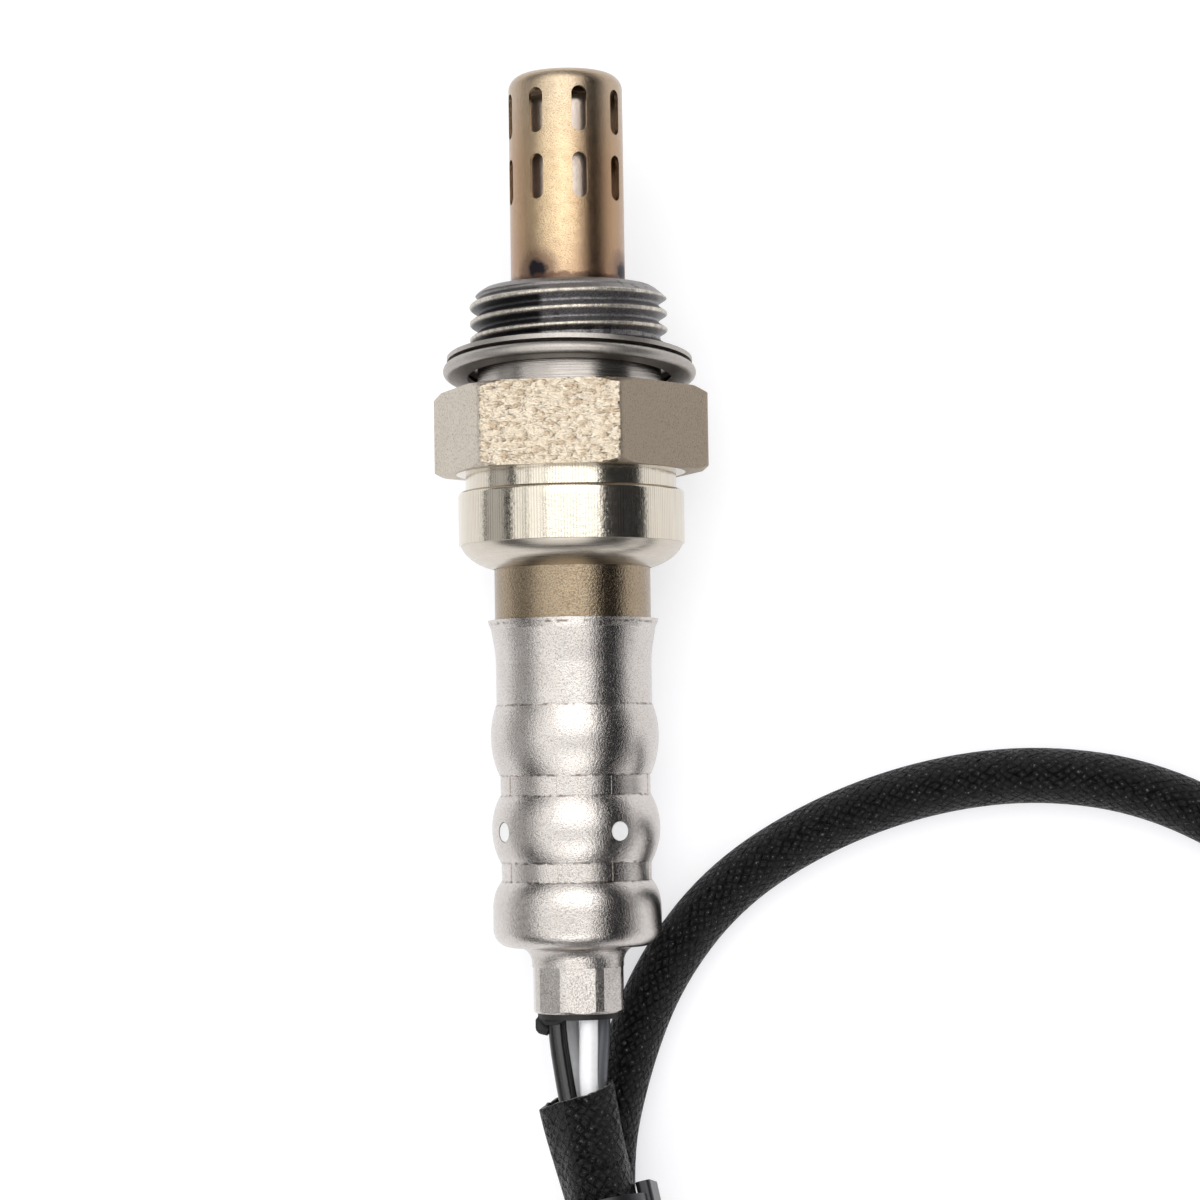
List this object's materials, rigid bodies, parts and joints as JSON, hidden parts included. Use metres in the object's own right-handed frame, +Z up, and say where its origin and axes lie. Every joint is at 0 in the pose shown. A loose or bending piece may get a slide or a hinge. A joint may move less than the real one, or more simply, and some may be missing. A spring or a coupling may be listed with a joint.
{
  "type": "oxygen sensor",
  "caption": "Heated oxygen sensor for an exhaust pipe: slotted probe, threaded steel body with hexagon and crush gasket, crimped shell, braided lead and plug.",
  "frame": {"origin": "on the surface it lies on, below the middle of the sensor body without its lead", "axes": "+Z up, +Y along the sensor towards its probe tip, seen from above; +X to the side where the lead's loop lies"},
  "size_m": [0.0964, 0.1544, 0.0232],
  "materials": {
    "housing": "nickel-plated steel, turned and satin, with a dark thread",
    "gasket": "satin stainless sheet",
    "outer_protection_tube": "heat-tinted gold",
    "inner_protection_tube": "heat-tinted steel",
    "seal_ring": "plain",
    "sensing_element": "zirconia, white",
    "heater_rod": "alumina, white",
    "talc_seal": "pressed powder",
    "ceramic_bush": "steatite",
    "lock_ring": "plain",
    "inner_sleeve": "heat-tinted bronze, satin",
    "outer_shell": "satin stainless with fine turning lines",
    "signal_contact": "plated",
    "ground_contact": "plated",
    "insulator": "steatite",
    "disc_spring": "spring steel",
    "heater_terminal_1": "plated",
    "heater_terminal_2": "plated",
    "signal_terminal": "plated",
    "ground_terminal": "plated",
    "vent_membrane": "porous white",
    "grommet": "black",
    "wire_white_1": "white insulation",
    "wire_white_2": "white insulation",
    "wire_black": "black insulation",
    "wire_grey": "grey insulation",
    "braided_sleeve": "black braid",
    "cable_tie": "black nylon",
    "connector_boot": "black",
    "connector_housing": "dark grey, moulded",
    "connector_ring_seal": "red-brown silicone",
    "connector_terminal_lock": "light grey, moulded",
    "connector_terminals": "plated"
  },
  "bodies": {
    "root": {"housing": "housing", "gasket": "gasket", "outer_protection_tube": "outer_protection_tube", "inner_protection_tube": "inner_protection_tube", "seal_ring": "seal_ring", "sensing_element": "sensing_element", "heater_rod": "heater_rod", "talc_seal": "talc_seal", "ceramic_bush": "ceramic_bush", "lock_ring": "lock_ring", "inner_sleeve": "inner_sleeve", "outer_shell": "outer_shell", "signal_contact": "signal_contact", "ground_contact": "ground_contact", "insulator": "insulator", "disc_spring": "disc_spring", "heater_terminal_1": "heater_terminal_1", "signal_terminal": "signal_terminal", "heater_terminal_2": "heater_terminal_2", "ground_terminal": "ground_terminal", "vent_membrane": "vent_membrane", "grommet": "grommet", "wire_white_1": "wire_white_1", "wire_black": "wire_black", "wire_white_2": "wire_white_2", "wire_grey": "wire_grey", "braided_sleeve": "braided_sleeve", "cable_tie": "cable_tie", "connector_boot": "connector_boot", "connector_housing": "connector_housing", "connector_ring_seal": "connector_ring_seal", "connector_terminal_lock": "connector_terminal_lock", "connector_terminals": "connector_terminals"}
  },
  "joints": []
}
